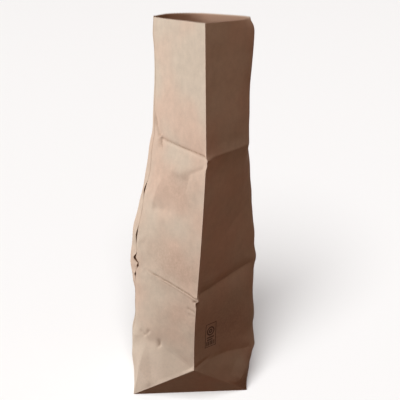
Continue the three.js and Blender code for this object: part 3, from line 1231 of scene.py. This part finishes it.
@dataclass(frozen=True)
class InkShapes:
    """The two simple shapes that the print is made of, as masks."""

    soft: float = 0.00025

    def bar(self) -> NodeTree:
        """A box drawn with a line: its distance on the larger axis, less than the line's width."""
        effect = Effect(
            "ink_bar",
            {"Place": Socket.VECTOR, "Half": Socket.VECTOR, "Line": Socket.VALUE},
            {"Mask": Socket.VALUE},
        )
        board, inputs = effect.board, effect.inputs
        place = board.vector("ABSOLUTE", inputs["Place"]).outputs[0]
        x, y, _ = board.split(board.vector("SUBTRACT", place, inputs["Half"]).outputs[0])
        past = board.math("ADD", board.math("MAXIMUM", x, y), inputs["Line"])
        away = board.math("ABSOLUTE", past)
        return effect.give(Mask=self.inked(board, away, inputs["Line"]))

    def ring(self) -> NodeTree:
        """A circle drawn with a line: its distance from the radius, less than the line's width."""
        effect = Effect(
            "ink_ring",
            {"Place": Socket.VECTOR, "Radius": Socket.VALUE, "Line": Socket.VALUE},
            {"Mask": Socket.VALUE},
        )
        board, inputs = effect.board, effect.inputs
        length = board.vector("LENGTH", inputs["Place"]).outputs["Value"]
        away = board.math("ABSOLUTE", board.math("SUBTRACT", length, inputs["Radius"]))
        return effect.give(Mask=self.inked(board, away, inputs["Line"]))

    def inked(self, board: Board, away: Any, line: Any) -> Any:
        """One inside the line and zero outside it, with a soft edge."""
        return board.step(board.math("SUBTRACT", away, line), self.soft, -self.soft)


@dataclass(frozen=True)
class Print:
    """The small printed mark low on the right face: a frame, two rings and a few bars."""

    centre: Pair = (0.0375, 0.1415)
    half: Pair = (0.0122, 0.0228)
    turn: float = -4.0
    line: float = 0.0006
    ring_at: float = 0.0075
    rings: tuple[Pair, ...] = ((0.0074, 0.0013), (0.0028, 0.0013))
    bars: tuple[Quad, ...] = (
        (0.0, -0.0046, 0.0080, 0.0013),
        (-0.0016, -0.0090, 0.0062, 0.0013),
    )
    band_at: float = -0.0158
    band_half: float = 0.0040
    band_bars: tuple[Pair, ...] = metres((
        (-8.8, 0.8), (-6.4, 0.5), (-4.2, 1), (-1.4, 0.5),
        (0.6, 0.8), (3.2, 1.1), (5.8, 0.5), (8.2, 0.9),
    ))

    def mask(self, board: Board, paper: Any, bar: NodeTree, ring: NodeTree) -> NodeSocket:
        """Where ink lies on the paper.

        Args:
            board: The material's nodes.
            paper: The place on the paper.
            bar: The group that draws a box.
            ring: The group that draws a circle.

        Returns:
            A socket that is 1 on ink and 0 beside it.
        """
        mapping = {
            "Vector": paper,
            "Location": (*self.centre, 0.0),
            "Rotation": (0.0, 0.0, math.radians(self.turn)),
        }
        place = board.add("Mapping", mapping, vector_type="TEXTURE").outputs[0]
        boxes = [(0.0, 0.0, *self.half, self.line)]
        boxes += [(*box, box[3]) for box in self.bars]
        boxes += [(x, self.band_at, w, self.band_half, w) for x, w in self.band_bars]
        masks = []
        for x, y, half_x, half_y, line in boxes:
            at = board.vector("SUBTRACT", place, (x, y, 0.0)).outputs[0]
            half = (half_x, half_y, 0.0)
            masks.append(board.place(bar, {"Place": at, "Half": half, "Line": line})[0])
        at = board.vector("SUBTRACT", place, (0.0, self.ring_at, 0.0)).outputs[0]
        for radius, line in self.rings:
            masks.append(board.place(ring, {"Place": at, "Radius": radius, "Line": line})[0])
        total = masks[0]
        for mask in masks[1:]:
            total = board.math("MAXIMUM", total, mask)
        return total


@dataclass(frozen=True)
class Kraft:
    """The finish of the sack: matt kraft paper, worn along its creases, with a printed mark.

    Wear with painted light, dirt with painted shade, and ink are broken up by noises (scale, number
    of layers) through soft steps, and cover at least a part everywhere. The lining is darker,
    partly as painted shade inside the sack. The cut edge is pale, from one height up to another,
    with a painted highlight along it.
    """

    rosy: Triple = (0.655, 0.480, 0.362)
    straw: Triple = (0.622, 0.520, 0.402)
    # The pale colour: wear, painted light on creases and faces, and the painted highlight on the
    # cut edge.
    worn_and_lit: Triple = (0.74, 0.60, 0.47)
    # The dark colour: dirt, and painted shade.
    dirt_and_shade: Triple = (0.27, 0.165, 0.105)
    # The lining's colour: a darker inner ply, darker still as painted shade inside the sack.
    inner_ply_and_shade: Triple = (0.41, 0.225, 0.143)
    inner_ply_and_shade_cover: float = 0.75
    # The top millimetre of the rim and its cut edge are painted pale: the pale cut edge, with a
    # painted highlight along it.
    cut_from: float = 0.6486
    cut_to: float = 0.6496
    cut_cover: float = 0.6
    ink: Triple = (0.085, 0.050, 0.038)
    ink_cover: float = 0.9
    bump: float = 0.35
    bump_depth: float = 0.0006
    specular: float = 0.25
    broken: Pair = (240.0, 3.0)
    broken_least: float = 0.45
    wear_and_light_edge: Pair = (0.20, 0.65)
    dirt_and_shade_edge: Pair = (0.25, 0.75)
    ink_noise: Pair = (900.0, 2.0)
    ink_edge: Pair = (0.25, 0.45)
    ink_least: float = 0.55

    def build(self, name: str, grain: NodeTree, marks: Callable | None) -> Material:
        """Make the material.

        Args:
            name: The material's name.
            grain: The paper's node group.
            marks: Gives the print's mask from the nodes and the place on the paper, or None.

        Returns:
            The new material.
        """
        material, board = paint(name)
        paper = board.add("UVMap", {}, uv_map="paper").outputs[0]
        hues = {"Paper": paper, "Rosy": self.rosy, "Straw": self.straw, "Tint": board.mark("rosy")}
        grains = board.place(grain, hues)
        colour = grains["Colour"]
        broken = board.noise(paper, *self.broken)
        x, z, _ = board.split(paper)
        inner_ply_and_shade = board.math("GREATER_THAN", x, LINING_SHIFT / 2)
        cut = board.step(z, self.cut_from, self.cut_to)
        # The lining takes its darker colour, partly painted shade inside the sack; the rim's cut
        # edge takes the pale colour, partly a painted highlight.
        for share, cover, tint in (
            (inner_ply_and_shade, self.inner_ply_and_shade_cover, self.inner_ply_and_shade),
            (cut, self.cut_cover, self.worn_and_lit),
        ):
            colour = board.mix(board.math("MULTIPLY", share, cover), colour, tint)
        # Wear with painted light, and dirt with painted shade, from the mesh's layers.
        for mark, tint, edge in (
            ("wear_and_light", self.worn_and_lit, self.wear_and_light_edge),
            ("dirt_and_shade", self.dirt_and_shade, self.dirt_and_shade_edge),
        ):
            cover = board.step(broken, *edge, self.broken_least)
            colour = board.mix(board.math("MULTIPLY", board.mark(mark), cover), colour, tint)
        if marks:
            ink = board.step(board.noise(paper, *self.ink_noise), *self.ink_edge, self.ink_least)
            cover = board.math("MULTIPLY", marks(board, paper), ink)
            colour = board.mix(board.math("MULTIPLY", cover, self.ink_cover), colour, self.ink)
        bump = {"Height": grains["Height"], "Strength": self.bump, "Distance": self.bump_depth}
        board.shade({
            "Normal": board.add("Bump", bump).outputs[0],
            "Base Color": colour,
            "Roughness": grains["Rough"],
            "Specular IOR Level": self.specular,
        })
        return material


@dataclass(frozen=True)
class Lamp:
    """A square soft light: its place, what it is turned to, and its size, power and colour."""

    name: str
    place: Triple
    aim: Triple
    size: float
    power: float
    colour: Triple

    def build(self, lit: Collection) -> None:
        """Make the lamp, which lights only what is in the given collection."""
        data = bpy.data.lights.new(self.name, "AREA")
        data.shape = "SQUARE"
        data.size = self.size
        data.energy = self.power
        data.color = self.colour
        lamp = placed(self.name, data)
        lamp.location = self.place
        away = Vector(self.place) - Vector(self.aim)
        lamp.rotation_euler = away.to_track_quat("Z", "Y").to_euler()
        lamp.light_linking.receiver_collection = lit


@dataclass(frozen=True)
class Studio:
    """Camera, soft light and a plain pale floor."""

    eye: Triple = (0.01225, -0.97853, 0.7085)
    pitch: float = 20.3
    focal_pixels: float = 604.0
    image_pixels: float = 400.0
    sensor: float = 36.0
    floor_size: float = 160.0
    floor_colour: Triple = (0.88, 0.88, 0.88)
    floor_roughness: float = 0.9
    floor_sun: float = 4.3
    floor_sun_from: Triple = (-0.14, -0.62, 0.77)
    floor_sun_softness: float = 45.0
    ground: Triple = (0.118, 0.042, 0.016)
    room: Triple = (0.060, 0.037, 0.028)
    ground_to_room: float = 0.6
    lamps: tuple[Lamp, ...] = (
        Lamp("window", (-1.75, -0.38, 0.84), (0, 0, 0.35), 1.0, 34.5, (0.99, 1.0, 1.04)),
        Lamp("ceiling", (0.40, -0.80, 1.90), (0, 0, 0.40), 0.6, 5.9, (1.0, 0.74, 0.63)),
        Lamp("skylight", (-0.60, -0.60, 2.10), (0, 0, 0.20), 0.9, 4.5, (0.86, 1.0, 1.06)),
    )

    def camera(self) -> None:
        """The scene's camera, which stands before the sack and looks down at it by the pitch."""
        data = bpy.data.cameras.new("camera")
        data.sensor_width = self.sensor
        data.lens = self.focal_pixels / self.image_pixels * self.sensor
        data.clip_end = self.floor_size
        camera = placed("camera", data)
        camera.location = self.eye
        camera.rotation_euler = (math.radians(90 - self.pitch), 0, 0)
        bpy.context.scene.camera = camera

    def floor(self) -> Object:
        """A large plain floor at the height that the sack stands on."""
        half = self.floor_size / 2
        mesh = bpy.data.meshes.new("floor")
        corners = [(-half, -half, 0), (half, -half, 0), (half, half, 0), (-half, half, 0)]
        mesh.from_pydata(corners, [], [(0, 1, 2, 3)])
        floor = placed("floor", mesh)
        material, board = paint("pale_floor")
        board.shade({"Base Color": self.floor_colour, "Roughness": self.floor_roughness})
        mesh.materials.append(material)
        floor.visible_diffuse = False
        return floor

    def sun(self, lit: Collection) -> None:
        """A wide soft sun that keeps the floor pale all over."""
        data = bpy.data.lights.new("floor_sun", "SUN")
        data.energy = self.floor_sun
        data.angle = math.radians(self.floor_sun_softness)
        sun = placed("floor_sun", data)
        sun.rotation_euler = Vector(self.floor_sun_from).to_track_quat("Z", "Y").to_euler()
        sun.light_linking.receiver_collection = lit

    def world(self) -> None:
        """Weak warm light: the ground's colour from below goes over to the room's from above."""
        world = bpy.data.worlds.new("room")
        world.use_nodes = True
        board = Board(world.node_tree)
        z = board.split(board.add("TexCoord", {}).outputs["Generated"])["Z"]
        levels = {"Value": z, "From Min": -self.ground_to_room, "From Max": self.ground_to_room}
        level = board.add("MapRange", levels).outputs["Result"]
        sky = board.tree.nodes["Background"].inputs["Color"]
        board.put(sky, board.mix(level, self.ground, self.room))
        bpy.context.scene.world = world

    def build(self, pieces: list[Object]) -> None:
        """Set up the floor, the camera and the lights round the pieces."""
        floor = self.floor()
        self.camera()
        self.world()
        lit_pieces = bpy.data.collections.new("lit_pieces")
        for piece in pieces:
            lit_pieces.objects.link(piece)
        lit_floor = bpy.data.collections.new("lit_floor")
        lit_floor.objects.link(floor)
        self.sun(lit_floor)
        for lamp in self.lamps:
            lamp.build(lit_pieces)
        bpy.context.scene.view_settings.view_transform = "Standard"


def main() -> None:
    """Build the sack, dress it and set it in the studio."""
    logging.basicConfig(level=logging.INFO)
    tube = Tube()
    wrinkles = Wrinkles()
    sheet = Sheet(tube, wrinkles)
    grain, ink = PaperGrain().build(), InkShapes()
    bar, ring = ink.bar(), ink.ring()

    def printed(board: Board, paper: Any) -> Any:
        """The print's mask."""
        return Print().mask(board, paper, bar, ring)

    kraft = Kraft()
    pieces = [
        sheet.build("paper_tube", kraft.build("kraft_paper", grain, printed)),
        Lap(sheet).build("glued_lap", kraft.build("kraft_lap", grain, None)),
    ]
    for piece in pieces:
        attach(piece, "root")
        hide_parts("sack")
        LOG.info("%s: %d triangles", piece.name, len(piece.data.polygons))
    Studio().build(pieces)


if __name__ == "__main__":
    main()
